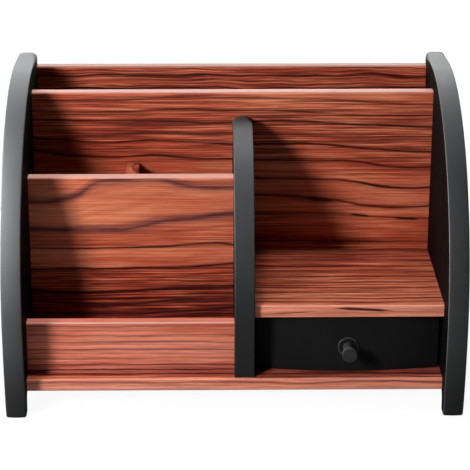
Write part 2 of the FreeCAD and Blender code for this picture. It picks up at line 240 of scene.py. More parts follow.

# heights in mm: up the standing boards, and back from the front arris of the lying ones
# zones: (height, tone from light to deep, amount of short streaks)
# marks: short dark marks as (start x, end x, start height, end height, half width)
# veins: (path, darkness, half width, halo strength, halo half width), where a path is a height
# or (x, height) points that the vein and the grain beside it follow, and a halo can be left out
# lift, paintedTopLight: brightness of the face, and painted top light on the top; strip, pink,
# lowerEdgeFloorReflection: shares of colours, the strip partly painted sheen and the lower edge a
# painted floor reflection
# darkEnd: a range along the board and what it adds to the tone; stripReach: mm behind the front,
# keeping the strip to a painted highlight along the front arris
boardGrain = {
    "mid_panel": {
        "seed": 7, "wave": 0.5, "strip": 0.95, "paintedTopLight": 1.25, "halo": "violet",
        "zones": [(20, 0.85, 1.2), (52, 0.83, 1.2), (62, 0.7, 1.1), (75, 0.56, 1),
                  (87, 0.54, 0.9), (92, 0.29, 0.2), (104, 0.25, 0.2), (110, 0.38, 0.5),
                  (120, 0.34, 0.45), (128, 0.2, 0.2), (150, 0.18, 0.16), (158, 0.3, 0.25)],
        "veins": [
            (((-155, 53), (-95, 52), (-45, 53.5), (0, 56.5)), 0.95, 1.5, 0.5, 4),
            (((-150, 62.5), (-88, 60), (-45, 62.5), (0, 64.5)), 0.9, 1.3, 0.5, 3.5),
            (((-155, 71), (-90, 70), (-30, 73), (0, 73.5)), 1, 1.7, 0.5, 4),
            (((-155, 88.5), (-100, 89.5), (-40, 90), (0, 93)), 1, 1.5, 0.35, 3),
            (((-155, 106), (-95, 106), (-55, 107), (-13, 110), (0, 108.5)), 0.85, 1.2, 0.4, 3.5),
            (((-155, 122), (-105, 120), (-80, 121), (-50, 128), (-30, 130), (0, 134)),
             0.35, 1.3, 1.1, 6),
            (((-155, 144), (-135, 144.5), (-118, 149), (-105, 158), (-82, 162), (-56, 162),
              (-40, 157), (-28, 155), (0, 154.5)), 0.3, 1.4, 1.1, 6.5),
        ],
    },
    "tall_panel": {
        "seed": 3, "wave": 0.5, "strip": 0.8, "lift": 1.08, "paintedTopLight": 0.92,
        "darkEnd": (-60, 10, 0.18, 0),
        "marks": [(52, 84, 127, 123, 2.4), (90, 112, 112.8, 110, 1.5),
                  (122, 152, 109.5, 107.5, 1.6)],
        "zones": [(20, 0.5, 0.8), (90, 0.4, 0.7), (106, 0.3, 0.5), (120, 0.22, 0.3),
                  (134, 0.24, 0.3), (150, 0.32, 0.45), (165, 0.36, 0.8), (180, 0.3, 1),
                  (192, 0.26, 0.9), (200, 0.24, 0.8), (208, 0.22, 0.7), (212, 0.2, 0.3)],
        "veins": [
            (((-155, 92), (155, 89)), 0.6, 1.3, 0.5, 5),
            (((-155, 112), (60, 113), (120, 110), (155, 109)), 0.5, 1.4, 0.5, 4),
            (((-155, 130), (18, 129), (50, 127.5), (70, 124.5), (82, 124), (101, 119.5),
              (155, 119)), 0.75, 1.4, 0.9, 5),
            (((-155, 146), (18, 143), (60, 142), (90, 140.5), (120, 135), (155, 134.5)),
             1, 1.4, 0.6, 3.4),
            (((-150, 165), (-97, 160), (-60, 161.5), (-20, 159), (60, 157), (95, 156),
              (125, 152), (155, 151)), 0.95, 1.35, 0.6, 3.4),
            (((-155, 176), (-97, 172.5), (-65, 173.5), (-20, 171.5), (75, 170), (110, 166),
              (155, 163.5)), 0.95, 1.35, 0.6, 3.4),
            (((-155, 182.5), (-90, 178.5), (-65, 180), (0, 179), (155, 174)),
             0.35, 1.2, 0.6, 4),
            (((-155, 191), (-60, 190), (0, 188), (40, 189.5), (90, 187), (155, 184)),
             0.95, 1.35, 0.6, 3.4),
            (((-155, 198), (-97, 197), (-55, 198.5), (-10, 198.5), (50, 197), (66, 195.5),
              (155, 193.5)), 0.7, 1, 0.45, 2.6),
            (((-155, 207), (-100, 206), (-45, 208.5), (50, 207.5), (90, 205.5), (155, 201.5)),
             0.6, 1, 0.45, 2.8),
        ],
    },
    "front_rail": {
        "seed": 11, "wave": 0.5, "pink": 0.42, "strip": 0.9, "lift": 1.02, "paintedTopLight": 1.22,
        "stripReach": 1.6, "halo": "violet",
        "zones": [(20, 0.58, 0.55), (31, 0.4, 0.5), (35, 0.23, 0.35), (46, 0.21, 0.35),
                  (60, 0.17, 0.32), (66, 0.42, 0.3)],
        "veins": [(28.4, 0.95, 0.8, 0.3, 1.6), (32.6, 0.65, 0.7, 0.4, 1.8),
                  (37.6, 0.3, 0.6, 0.35, 1.6), (41.5, 0.25, 0.5, 0.3, 1.6),
                  (44.8, 0.45, 0.6, 0.4, 2), (51, 0.4, 0.6, 0.4, 2),
                  (56.4, 0.4, 0.6, 0.3, 1.8), (60.2, 0.2, 0.5, 0.3, 1.6),
                  (63.4, 0.4, 0.6, 0.3, 1.4)],
    },
    "back_panel": {
        "seed": 17, "wave": 2.5, "strip": 0.75, "lift": 1.07, "paintedTopLight": 0.63,
        "zones": [(20, 0.5, 1), (190, 0.36, 0.9), (217, 0.36, 0.9)],
        "veins": [(55, 0.8, 1.3), (84, 0.8, 1.3), (112, 0.9, 1.5), (140, 0.7, 1.3),
                  (163, 0.9, 1.4), (184, 0.8, 1.3), (201, 0.9, 1.3), (210.8, 0.95, 1.3)],
    },
    "drawer_shelf": {
        "seed": 23, "wave": 1.6, "pink": 0.12, "strip": 0.8, "lift": 1.2, "paintedTopLight": 0.68,
        "frontShare": 0.5,
        "zones": [(-10, 0.15, 0.3), (0, -0.1, 0.7), (16, -0.08, 0.9), (30, 0.1, 1.2),
                  (44, 0.2, 1.2), (60, 0.18, 1), (80, 0.38, 1.2), (118, 0.5, 1.2)],
        "marks": [(66, 124, -1.9, -4.9, 1.6), (18, 66, -7.6, -4.4, 0.45)],
        "veins": [(-6, 0.35, 0.8, 0.5, 1.8), (7, 0.85, 1.2, 0.4, 2.5), (14, 0.9, 1.3, 0.4, 2.5),
                  (26, 0.8, 1.2, 0.4, 2.5), (34, 0.85, 1.3, 0.4, 2.5), (45, 0.7, 1.2, 0.4, 2.5),
                  (58, 0.85, 1.4), (68, 0.6, 1.2), (79, 0.85, 1.5), (92, 0.75, 1.5)],
    },
    "base_board": {
        "seed": 29, "wave": 1.6, "pink": 0.3, "strip": 0.6, "lift": 1.14, "paintedTopLight": 1.04,
        "frontShare": 0.6, "lowerEdgeFloorReflection": 0.6,
        # from about 12 mm behind its front, under the drawer and behind the rail, the base's top
        # deepens in tone: painted shade inside
        "zones": [(-10, 0.02, 0.6), (-4, 0.12, 0.8), (0, 0.16, 0.8), (5, 0.25, 0.8),
                  (7, 0.55, 0.8), (12, 0.6, 1), (22, 0.8, 1), (184, 0.85, 0.8)],
        "veins": [(-3.2, 1, 0.75, 0.6, 1.7), (2.6, 0.4, 0.7, 0.4, 1.6),
                  (8.6, 1, 1.2, 0.6, 2.6), (20, 0.8, 1.3), (44, 0.8, 1.3), (70, 0.8, 1.3),
                  (101, 0.8, 1.3), (133, 0.8, 1.3), (160, 0.8, 1.3)],
    },
    "short_divider": {
        "seed": 31, "wave": 1.2, "strip": 0.05, "lift": 1.02,
        "crossTilt": 0.3,  # the grain runs back, and its level tilts across by this
        "zones": [(20, 0.6, 0.8), (120, 0.5, 0.7), (155, 0.4, 0.4)],
        "veins": [(45, 0.8, 1.3), (66, 0.8, 1.3), (90, 0.7, 1.3), (112, 0.8, 1.3),
                  (133, 0.7, 1.3), (150, 0.5, 1.2)],
    },
}
lyingBoards = ("drawer_shelf", "base_board")
usualHalo = (0.4, 3)


def peakStops(peaks):
    # each peak is (place, strength, half width) on a ramp from 0 to 1
    gap = 0.0004  # between two stops
    stops = [(0.0, 0.0)]
    for middle, strength, half in peaks:
        start = max(middle - half, stops[-1][0] + gap)
        stops += [(start, 0.0), (max(middle, start + gap), strength), (middle + half, 0.0)]
    return stops + [(1.0, 0.0)]


def followPaths(shader, level, along, paths):
    # shifts the level so that each path becomes straight, and the grain between them with it
    maths = shader.maths
    curves, means = [], []
    for path in paths:
        curve = shader.add("ShaderNodeFloatCurve", {"Value": along})
        points = curve.mapping.curves[0].points
        for place, height in path[1:-1]:
            points.new(place, height)
        for point, (place, height) in zip(points, path):
            point.location = (place, height)
        curve.mapping.update()
        curves.append(curve.outputs[0])
        means.append(sum(height for place, height in path) / len(path))
    below = maths("MINIMUM", maths("SUBTRACT", level, curves[0]), 0)
    above = maths("MAXIMUM", maths("SUBTRACT", level, curves[-1]), 0)
    straight = maths("ADD", maths("ADD", below, above), means[0])
    for lower, upper, mean, nextMean in zip(curves, curves[1:], means, means[1:]):
        rise, gap = maths("SUBTRACT", level, lower), maths("SUBTRACT", upper, lower)
        share = maths("DIVIDE", rise, gap, clamp=True)
        straight = maths("MULTIPLY_ADD", share, nextMean - mean, straight)
    return straight, means


def darkMark(shader, runs, height, mark):
    # a short dark mark along the grain, thickest in the middle and fading at both ends
    start, end, startHeight, endHeight, half = mark
    line = shader.spread(runs, start, end, startHeight, endHeight)
    away = shader.maths("ABSOLUTE", shader.maths("SUBTRACT", height, line))
    third = (end - start) / 3
    first = shader.spread(runs, start, start + third, soft=True)
    last = shader.spread(runs, end - third, end, 1, 0, soft=True)
    reach = shader.maths("MULTIPLY", shader.maths("MINIMUM", first, last), half)
    softness = half * 0.7
    return shader.maths("DIVIDE", shader.maths("SUBTRACT", reach, away), softness, clamp=True)


def figureNoise(shader, vector, name):
    stretch, scale, detail, rough = figure[name]
    return shader.noise(shader.stretch(vector, stretch), scale, detail, rough)


def veinPaths(veins, left, right, low, span):
    # the veins' points along and across the board, from 0 to 1; a bare height runs straight
    paths = []
    for vein in veins:
        route = vein[0] if isinstance(vein[0], tuple) else ((-200, vein[0]), (200, vein[0]))
        paths.append([(min(max((x - left) / (right - left), 0), 1), (height - low) / span)
                      for x, height in route])
    return paths


def sheenStripMask(shader, grain, parts, boxLow, boxHigh, lying):
    # 1 on the paler strip along a board's edge, which is partly a paler edge and partly painted
    # sheen and top light
    depth, soft = rosewood["stripDepth"], rosewood["stripSoft"]
    if lying:
        # on the front edge, with a painted highlight along its arris
        onSheenStrip = shader.spread(parts["Y"], boxLow.y + depth, boxLow.y + depth + soft, 1, 0)
        below, above = (boxHigh.z - step for step in rosewood["arrisFade"])
        arrisHighlight = shader.spread(parts["Z"], below, above, grain["frontShare"], 1)
        return shader.maths("MULTIPLY", onSheenStrip, arrisHighlight)
    onSheenStrip = shader.spread(parts["Z"], boxHigh.z - depth - soft, boxHigh.z - depth)
    # a reach keeps the strip near the front, as a painted highlight along the front arris
    if "stripReach" in grain:
        reach = boxLow.y + grain["stripReach"]
        faded = reach + rosewood["reachSoft"]
        ahead = shader.spread(parts["Y"], reach, faded, 1, rosewood["stripBehind"])
        onSheenStrip = shader.maths("MULTIPLY", onSheenStrip, ahead)
    return onSheenStrip


def makeRosewood(node, grain):
    shader = Shader("rosewood_" + node)
    maths, spread, blend = shader.maths, shader.spread, shader.blend
    boxLow, boxHigh = (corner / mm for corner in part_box(node))
    lying = node in lyingBoards
    millimetres = shader.stretch(shader.coordinate(), (1 / mm,) * 3)
    parts = shader.axes(millimetres)
    starts = [grain["seed"] * step for step in mixing["seedSteps"]]
    shift = {0: millimetres, 1: (starts[0],) * 3}
    seeded = shader.add("ShaderNodeVectorMath", shift, operation="ADD").outputs[0]

    # the level across the grain, 0 to 1: up the faces, and back over the tops
    low = (-boxHigh.z + boxLow.z if lying else boxLow.z) - mixing["spare"]
    high = (boxHigh.y - boxLow.y if lying else boxHigh.z + boxHigh.y - boxLow.y) + mixing["spare"]
    span = high - low
    rise = maths("SUBTRACT", parts["Z"], boxHigh.z) if lying else parts["Z"]
    if "crossTilt" in grain:
        runs, depth = parts["Y"], maths("MULTIPLY", parts["X"], grain["crossTilt"])
    else:
        runs, depth = parts["X"], maths("SUBTRACT", parts["Y"], boxLow.y)
    plain = maths("ADD", rise, depth)
    level = spread(plain, low, high)
    sway = mixing["waveReach"] * grain["wave"] / span
    wave = spread(figureNoise(shader, seeded, "wave"), 0, 1, -sway, sway)
    level = maths("ADD", level, wave)
    straight = maths("MULTIPLY_ADD", level, span, low)
    sway = mixing["rippleReach"] / span
    ripple = spread(figureNoise(shader, seeded, "ripple"), 0, 1, -sway, sway)
    level = maths("ADD", level, ripple)
    veins = [vein if len(vein) > 3 else vein + usualHalo for vein in grain["veins"]]
    if any(isinstance(vein[0], tuple) for vein in veins):
        along = spread(runs, boxLow.x, boxHigh.x)
        paths = veinPaths(veins, boxLow.x, boxHigh.x, low, span)
        level, middles = followPaths(shader, level, along, paths)
    else:
        middles = [(vein[0] - low) / span for vein in veins]
    across = maths("MULTIPLY_ADD", level, span, low)
    flat = shader.add("ShaderNodeCombineXYZ", {0: runs, 1: across, 2: starts[1]}).outputs[0]
    fibre = shader.add("ShaderNodeCombineXYZ", {0: runs, 1: straight, 2: starts[2]}).outputs[0]

    # main veins: a dark line inside a soft halo, stronger and weaker along the board
    cores = [(middle, vein[1], vein[2] / span) for middle, vein in zip(middles, veins)]
    halos = [(middle, vein[3], vein[4] / span) for middle, vein in zip(middles, veins)]
    core = shader.ramp(level, peakStops(cores), "EASE")
    halo = shader.ramp(level, peakStops(halos), "EASE")
    strength = figureNoise(shader, seeded, "strength")
    core = maths("MULTIPLY", core, spread(strength, *mixing["core"]), clamp=True)
    halo = maths("MULTIPLY", halo, spread(strength, *mixing["halo"]))

    # fine fibres, and short darker streaks in the zones that have them
    zones = [((height - low) / span, tone, amount) for height, tone, amount in grain["zones"]]
    tone = shader.ramp(level, [(place, tone) for place, tone, amount in zones])
    amount = shader.ramp(level, [(place, amount) for place, tone, amount in zones])
    coarse = figureNoise(shader, flat, "coarse")
    clouds = figureNoise(shader, flat, "clouds")
    fine = figureNoise(shader, fibre, "fine")
    hairs, streaks, pores = (spread(figureNoise(shader, fibre, name), *mixing[name], soft=True)
                             for name in ("hairs", "streaks", "pores"))
    streaks = maths("MULTIPLY", streaks, amount)
    hairShare = maths("MULTIPLY_ADD", amount, *mixing["hairShare"])
    hairs = maths("MULTIPLY", hairs, hairShare, clamp=True)
    fineShare = maths("MULTIPLY_ADD", amount, *mixing["fineShare"])

    # colour from the light ground through red to the dark lines
    dark = tones["lyingDark" if lying else "dark"]
    cloudTone = spread(clouds, *noiseRange, *mixing["cloudTone"])
    coarseTone = spread(coarse, *noiseRange, *mixing["coarseTone"])
    fineTone = spread(fine, *mixing["fineTone"])
    ground = maths("ADD", maths("ADD", tone, cloudTone), coarseTone)
    ground = maths("MULTIPLY_ADD", fineTone, fineShare, ground)
    if "darkEnd" in grain:
        ground = maths("ADD", ground, spread(runs, *grain["darkEnd"], soft=True))
    ground = maths("MULTIPLY", ground, mixing["toneScale"])
    stops = [(0.0, tones["light"]), (mixing["redAt"], tones["red"]),
             (mixing["deepAt"], tones["deep"]), (1.0, dark)]
    colour = shader.ramp(ground, stops)
    pinks = (grain.get("pink", 0.0) * share for share in mixing["pinkShares"])
    pink = spread(clouds, *mixing["pinkRange"], *pinks)
    colour = blend(pink, colour, tones["rose"])
    halo = maths("MULTIPLY", halo, spread(fine, *mixing["haloFine"]), clamp=True)
    colour = blend(halo, colour, tones[grain.get("halo", "deep")])
    colour = blend(hairs, colour, dark)
    streaks = maths("MULTIPLY", streaks, mixing["streakShare"], clamp=True)
    colour = blend(streaks, colour, dark)
    colour = blend(maths("MULTIPLY", pores, mixing["poreShare"]), colour, dark)
    colour = blend(core, colour, dark)

    # the strip with its painted sheen, the painted floor reflection on the lower edge, the marks,
    # and the brightness of the face and the painted top light on the top
    onSheenStrip = sheenStripMask(shader, grain, parts, boxLow, boxHigh, lying)
    sheenStripColour = tones["frontSheenStrip" if lying else "strip"]
    colour = blend(maths("MULTIPLY", onSheenStrip, grain["strip"]), colour, sheenStripColour)
    if lying:
        colour = blend(maths("MULTIPLY", core, mixing["edgeVeins"]), colour, dark)
    # a painted reflection of the floor along the base's lower edge
    if "lowerEdgeFloorReflection" in grain:
        bottom, top = (boxLow.z + step for step in rosewood["floorReflectionFade"])
        floorReflectionShare = spread(parts["Z"], bottom, top, grain["lowerEdgeFloorReflection"], 0)
        colour = blend(floorReflectionShare, colour, tones["lowerEdgeFloorReflection"])
    for mark in grain.get("marks", ()):
        colour = blend(darkMark(shader, runs, plain, mark), colour, tones["mark"])
    # the top's brightness factor is painted top light, making tops lighter or darker than the face
    lift, paintedTopLight = grain.get("lift", 1.0), grain.get("paintedTopLight", 1.0)
    if lying:
        reach = boxLow.y + rosewood["stripDepth"]
        lift = spread(parts["Y"], reach, reach + rosewood["stripSoft"], lift, paintedTopLight)
    else:
        lift = spread(onSheenStrip, 0, 1, lift, paintedTopLight)
    scaled = shader.add("ShaderNodeVectorMath", {0: colour, "Scale": lift}, operation="SCALE")
    shader.give("Base Color", scaled.outputs[0])

    shader.roughen(fine, rosewood["roughness"])
    onFaces = rosewood["lyingSpecular"] if lying else rosewood["specular"]
    shine = spread(onSheenStrip, 0, 1, onFaces, rosewood["stripSpecular"])
    shader.give("Specular IOR Level", shine)
    ridges = maths("MULTIPLY", fine, rosewood["fineBump"])
    dips = maths("MULTIPLY", pores, rosewood["poreBump"])
    height = maths("SUBTRACT", maths("SUBTRACT", ridges, dips), core)
    shader.bump(height, *rosewood["bump"])
    return shader.material


# lacquer, pale wood and metal: colour is linear, light and dark are screen colours
def mottled(shader, cloud, colour, shares):
    # a colour that varies between two shares of itself
    ends = [tuple(part * share for part in colour) + (1,) for share in shares]
    return shader.blend(cloud, *ends)


# satin on the rounded edges, nearly matt on the flat faces inside
# glossRun: an axis, then (distance along it in mm, gloss) points
satin = {"colour": (0.0062, 0.0064, 0.0068), "roughness": (0.59, 0.66)}
lacquers = {
    "black_lacquer": {
        **satin,
        "glossRun": ("Z", (0, 0.44), (20, 0.46), (36, 0.62), (60, 0.81), (85, 0.75), (115, 0.6),
                     (155, 0.57), (195, 0.6), (211, 0.51), (222, 0.53), (229, 0.66)),
    },
    "black_lacquer_divider": {
        **satin, "glossRun": ("Z", (0, 0.28), (125, 0.3), (178, 0.54), (230, 0.54)),
    },
    "black_lacquer_flat": {
        "colour": (0.0021, 0.0021, 0.0021), "roughness": (0.57, 0.64),
        "glossRun": ("X", (0, 0.02), (160, 0.02), (165, 0.25), (230, 0.25)),
    },
    "black_lacquer_drawer": {
        "colour": (0.0086, 0.0086, 0.0086), "roughness": (0.57, 0.64), "gloss": 0.05,
    },
}
lacquerFinish = {
    "tint": (0.95, 0.975, 1.0, 1.0),
    "glossLength": 230,  # mm
    "clouds": (14, 3), "smudges": (45, 4, 0.6), "peel": (420, 2),  # scale, detail, roughness
    "cloudShares": (0.85, 1.2), "peelBump": (0.35, 0.00003),  # bump: strength, depth in metres
}


def makeLacquer(name, values):
    shader = Shader(name)
    place = shader.coordinate()
    cloud = shader.noise(place, *lacquerFinish["clouds"])
    colour = mottled(shader, cloud, values["colour"], lacquerFinish["cloudShares"])
    shader.give("Base Color", colour)
    shader.roughen(shader.noise(place, *lacquerFinish["smudges"]), values["roughness"])
    if "glossRun" in values:
        axis, *points = values["glossRun"]
        length = lacquerFinish["glossLength"]
        along = shader.axes(place)[axis]
        share = shader.maths("DIVIDE", shader.maths("ABSOLUTE", along), length * mm)
        gloss = shader.ramp(share, [(height / length, level) for height, level in points])
    else:
        gloss = values["gloss"]
    shader.give("Specular IOR Level", gloss)
    shader.give("Specular Tint", lacquerFinish["tint"])
    shader.bump(shader.noise(place, *lacquerFinish["peel"]), *lacquerFinish["peelBump"])
    return shader.material


# grain is the stretch of its noise along X, Y and Z
paleWoods = {
    "drawer_wood": {"light": (214, 176, 132), "dark": (178, 134, 92), "grain": (5, 260, 260),
                    "roughness": (0.49, 0.63)},
    "beech": {"light": (222, 184, 142), "dark": (190, 142, 100), "grain": (8, 420, 420),
              "roughness": (0.54, 0.68)},
}
woodFinish = {"broadShare": 0.18, "grainShare": 0.6, "toneRange": (0.35, 0.65),
              "bump": (0.4, 0.00005)}


def makePaleWood(name, values):
    shader = Shader(name)
    place = shader.coordinate()
    grain = shader.noise(shader.stretch(place, values["grain"]), detail=4, rough=0.6)
    broadGrain = tuple(part * woodFinish["broadShare"] for part in values["grain"])
    broad = shader.noise(shader.stretch(place, broadGrain))
    share = woodFinish["grainShare"]
    mixed = shader.maths("MULTIPLY_ADD", grain, share, shader.maths("MULTIPLY", broad, 1 - share))
    tone = shader.spread(mixed, *woodFinish["toneRange"])
    colour = shader.blend(tone, toLinear(*values["light"]), toLinear(*values["dark"]))
    shader.give("Base Color", colour)
    shader.roughen(grain, values["roughness"])
    shader.bump(grain, *woodFinish["bump"])
    return shader.material


# painted highlight on the knob's neck: the place along Y behind which the colour is brighter, and
# by how much
metals = {
    "black_metal": {"colour": (0.018, 0.018, 0.019), "metal": 0.0, "roughness": (0.32, 0.42),
                    "gloss": 0.5, "paintedNeckHighlight": (-0.0885, 3.0)},
    # the rim's lighter grey is a painted highlight; the lamps make it show on the upper left
    "black_metal_rim": {"colour": (0.085, 0.085, 0.087), "metal": 0.0, "roughness": (0.46, 0.56),
                        "gloss": 0.1},
    "black_metal_plate": {"colour": (0.0086, 0.0086, 0.0088), "metal": 0.0,
                          "roughness": (0.41, 0.51), "gloss": 0.1},
    "zinc_steel": {"colour": (0.62, 0.63, 0.64), "metal": 1.0, "roughness": (0.26, 0.36),
                   "gloss": 0.5},
}
metalFinish = {"speckles": (900,) * 3, "clouds": (160,) * 3, "cloudShares": (0.85, 1.15),
               "neckHighlightFade": 0.002, "bump": (0.25, 0.00002)}


def makeMetal(name, values):
    shader = Shader(name)
    place = shader.coordinate()
    speckle = shader.noise(shader.stretch(place, metalFinish["speckles"]))
    cloud = shader.noise(shader.stretch(place, metalFinish["clouds"]), detail=3)
    colour = mottled(shader, cloud, values["colour"], metalFinish["cloudShares"])
    # a painted highlight: the neck behind that place is made brighter
    if "paintedNeckHighlight" in values:
        start, factor = values["paintedNeckHighlight"]
        depth = shader.axes(place)["Y"]
        lift = shader.spread(depth, start, start + metalFinish["neckHighlightFade"], 1, factor)
        colour = shader.blend(1.0, colour, shader.grey(lift), "MULTIPLY")
    shader.give("Base Color", colour)
    shader.give("Metallic", values["metal"])
    shader.give("Specular IOR Level", values["gloss"])
    shader.roughen(cloud, values["roughness"])
    shader.bump(speckle, *metalFinish["bump"])
    return shader.material


finishes = {}
for maker, looks in ((makeLacquer, lacquers), (makePaleWood, paleWoods), (makeMetal, metals)):
    finishes.update({name: maker(name, values) for name, values in looks.items()})
for node, grain in boardGrain.items():
    finishes["rosewood_" + node] = makeRosewood(node, grain)
print("materials made")


# helpers for pieces
weld = 1e-6  # metres, between points that are the same
near = 1e-5  # metres, for telling places apart


def bevelEdges(mesh, edges, size, segments):
    bmesh.ops.bevel(mesh, geom=list(edges), offset=size, offset_type="OFFSET", segments=segments,
                    profile=0.5, affect="EDGES", material=-1, clamp_overlap=True)


def faceOutwards(mesh):
    bmesh.ops.recalc_face_normals(mesh, faces=mesh.faces)


def addObject(mesh, name):
    data = bpy.data.meshes.new(name)
    mesh.to_mesh(data)
    mesh.free()
    thing = bpy.data.objects.new(name, data)
    scene.collection.objects.link(thing)
    return thing, data


def finishPiece(mesh, ending, node, body, finish, crease=32, flatFinish=None, flatAxis=0):
    # the flat finish goes on the faces that look straight along the flat axis
    bmesh.ops.remove_doubles(mesh, verts=mesh.verts, dist=weld)
    faceOutwards(mesh)
    piece, data = addObject(mesh, node + ending)
    for face in data.polygons:
        face.use_smooth = True
    data.set_sharp_from_angle(angle=math.radians(crease))
    data.materials.append(finishes[finish])
    if flatFinish:
        straight = 0.9999
        data.materials.append(finishes[flatFinish])
        for face in data.polygons:
            face.material_index = 1 if abs(face.normal[flatAxis]) > straight else 0
    piece.modifiers.new("evenShading", "WEIGHTED_NORMAL").keep_sharp = True
    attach(piece, body)
    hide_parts(node)


def makeBlock(low, high):
    mesh = bmesh.new()
    bmesh.ops.create_cube(mesh, size=1)
    bmesh.ops.scale(mesh, vec=high - low, verts=mesh.verts)
    bmesh.ops.translate(mesh, vec=(low + high) / 2, verts=mesh.verts)
    return mesh


def runsAlong(way, axis):
    return abs(way[axis]) > 0.9


def newPoints(items):
    return [item for item in items if isinstance(item, bmesh.types.BMVert)]


def edgesWhere(mesh, test):
    # the test gets the middle and the direction of each edge
    chosen = []
    for edge in mesh.edges:
        first, second = (vert.co for vert in edge.verts)
        if test((first + second) / 2, (second - first).normalized()):
            chosen.append(edge)
    return chosen


# curved panels
panels = {
    # mm
    "springLine": 71.5, "sideRadius": 157, "dividerRadius": 121.5, "lowerRadius": 400,
    "footLength": 12, "archCorner": 8, "tipCorner": 4.6, "soleCorner": 2.2,
    "crownRadius": {"left_side_panel": 70, "right_side_panel": 110, "centre_divider": 900},
    "layers": (0.1, 0.28, 0.55, 1.0, 1.7, 2.5, 3.6, 5.0, 6.4),  # from each flat face inwards
    # rounding of the edges, and the distances over which it fades
    "arris": 0.7, "tipRound": 3.6, "footRound": 1.4, "tipFade": (6, 40), "footFade": (1, 12),
    "dividerArris": 0.55, "domeRound": 5.0, "domeFade": (3, 16), "domeFadeDown": (10, 30),
    # counts
    "arcSteps": 56, "lowerSteps": 14, "levelSteps": 8, "tipSteps": 6, "archSteps": 8,
    "soleSegments": 4,
}


def addPoint(mesh, start, move):
    grown = bmesh.ops.extrude_vert_indiv(mesh, verts=[start])
    point = grown["verts"][0]
    bmesh.ops.translate(mesh, vec=move, verts=[point])
    return point


def addArc(mesh, start, centre, degrees, steps):
    # turns about X; positive is from +Y towards +Z
    swept = bmesh.ops.spin(mesh, geom=[start], cent=centre, axis=(1, 0, 0),
                           angle=math.radians(degrees), steps=steps, use_merge=False)
    return newPoints(swept["geom_last"])[0]


def extrudeLayers(mesh, low, high):
    # one ring of points at each layer, so that the edges can be rounded afterwards
    bmesh.ops.remove_doubles(mesh, verts=mesh.verts, dist=weld)
    face = bmesh.ops.contextual_create(mesh, geom=list(mesh.edges))["faces"][0]
    steps = [depth * mm for depth in panels["layers"]]
    places = [low + depth for depth in steps] + [high - depth for depth in reversed(steps)] + [high]
    at = low
    for place in places:
        grown = bmesh.ops.extrude_face_region(mesh, geom=[face])["geom"]
        newFace = next(item for item in grown if isinstance(item, bmesh.types.BMFace))
        if at > low:
            mesh.faces.remove(face)
        bmesh.ops.translate(mesh, vec=(place - at, 0, 0), verts=newPoints(grown))
        face, at = newFace, place
    faceOutwards(mesh)


def spot(vert):
    # the same for all points of one line across the panel
    return round(vert.co.y, 6), round(vert.co.z, 6)


def roundPanel(mesh, low, high, crownRadius, radiusAt):
    # moves each ring in by the sagitta of the local rounding and of the slight crown
    middle, half = (low.x + high.x) / 2, (high.x - low.x) / 2
    inward = {}
    for vert in mesh.verts:
        offset = abs(vert.co.x - middle)
        if offset < half - near:
            normal = Vector((0, vert.normal.y, vert.normal.z)).normalized()
            inward[spot(vert)] = -normal * vert.calc_shell_factor()
    for vert in mesh.verts:
        depth = min(vert.co.x - low.x, high.x - vert.co.x)
        radius = radiusAt(vert.co)
        sag = (half - depth) ** 2 / (2 * crownRadius) if radius > near else 0
        if depth < radius:
            sag += radius - math.sqrt(radius * radius - (radius - depth) ** 2)
        vert.co += inward[spot(vert)] * sag


def fade(distance, close, far):
    # 1 up to the close distance, 0 from the far one
    share = min(max((far - distance) / (far - close), 0), 1)
    return share * share * (3 - 2 * share)


def makeSide(node):
    low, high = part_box(node)
    spring = panels["springLine"] * mm
    radius, lower = panels["sideRadius"] * mm, panels["lowerRadius"] * mm
    foot, corner = panels["footLength"] * mm, panels["archCorner"] * mm
    tip = panels["tipCorner"] * mm
    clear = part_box("base_board")[0].z
    mesh = bmesh.new()
    start = mesh.verts.new((low.x, low.y, spring))
    sag = math.degrees(math.asin((spring - low.z) / lower))
    crown = addArc(mesh, start, (low.x, low.y + radius, spring), -90, panels["arcSteps"])
    level, steps = crown, panels["levelSteps"]
    for step in range(steps):
        level = addPoint(mesh, level, (0, (high.y - tip - crown.co.y) / steps, 0))
    rear = addArc(mesh, level, (low.x, high.y - tip, high.z - tip), -90, panels["tipSteps"])
    heel = addPoint(mesh, rear, (0, 0, low.z - rear.co.z))
    inner = addPoint(mesh, heel, (0, -foot, 0))
    turn = addPoint(mesh, inner, (0, 0, clear - corner))
    rearTop = addArc(mesh, turn, (low.x, turn.co.y - corner, turn.co.z), 90, panels["archSteps"])
    toe = addArc(mesh, start, (low.x, low.y + lower, spring), sag, panels["lowerSteps"])
    sole = addPoint(mesh, toe, (0, foot, 0))
    rise = addPoint(mesh, sole, (0, 0, clear - corner))
    frontTop = addArc(mesh, rise, (low.x, rise.co.y + corner, rise.co.z), -90, panels["archSteps"])
    mesh.edges.new((frontTop, rearTop))
    extrudeLayers(mesh, low.x, high.x)
    soleEdges = edgesWhere(mesh, lambda middle, way: runsAlong(way, 0) and middle.z < low.z + near)
    bevelEdges(mesh, soleEdges, panels["soleCorner"] * mm, panels["soleSegments"])
    faceOutwards(mesh)
    mesh.normal_update()

    def radiusAt(place):
        arris = panels["arris"]
        fromTip = math.hypot(place.y - high.y, place.z - high.z) / mm
        atTip = fade(fromTip, *panels["tipFade"]) * (panels["tipRound"] - arris)
        fromFoot = (place.z - low.z) / mm
        atFoot = fade(fromFoot, *panels["footFade"]) * (panels["footRound"] - arris)
        return (arris + atTip + atFoot) * mm

    roundPanel(mesh, low, high, panels["crownRadius"][node] * mm, radiusAt)
    return mesh


